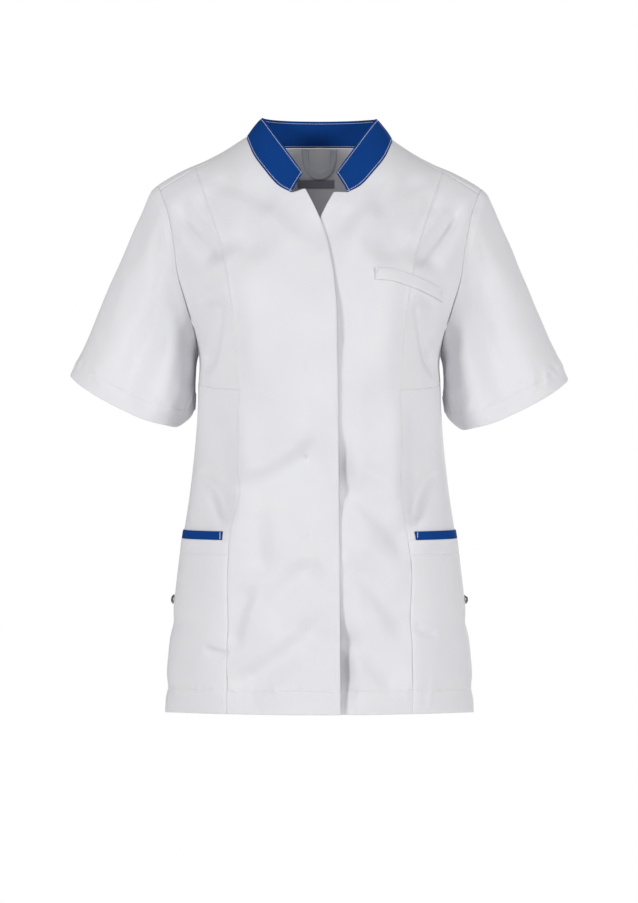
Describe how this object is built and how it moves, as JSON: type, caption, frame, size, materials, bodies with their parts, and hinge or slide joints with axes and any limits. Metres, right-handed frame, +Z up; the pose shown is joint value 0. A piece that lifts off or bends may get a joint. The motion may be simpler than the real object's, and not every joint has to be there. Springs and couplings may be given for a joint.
{
  "type": "medical tunic",
  "caption": "White short-sleeved medical tunic with a contrasting stand collar, concealed lapped front, breast welt, patch side pockets and side vents, in its worn form.",
  "frame": {"origin": "midway between the two neck points of the shoulder seams, where the wearer's shoulders carry the garment", "axes": "+Z up along the centre back, -Y towards the front closing, +X towards the wearer's left side"},
  "size_m": [0.622, 0.2618, 0.7446],
  "materials": {
    "white_twill": "matt polyester and cotton twill",
    "blue_twill": "matt dyed twill",
    "white_tape": "woven cotton tape",
    "grey_label": "woven satin label, bare",
    "chromed_steel": "polished"
  },
  "bodies": {
    "root": {"back": "white_twill", "front_right": "white_twill", "front_left": "white_twill", "side_panel_right": "white_twill", "side_panel_left": "white_twill", "sleeve_right": "white_twill", "sleeve_left": "white_twill", "collar": "blue_twill", "pocket_right": "white_twill", "pocket_left": "white_twill", "pocket_band_right": "blue_twill", "pocket_band_left": "blue_twill", "chest_welt": "white_twill", "neck_label": "grey_label", "hanger_loop": "white_tape", "vent_stud_right": "chromed_steel", "vent_stud_left": "chromed_steel"}
  },
  "joints": []
}
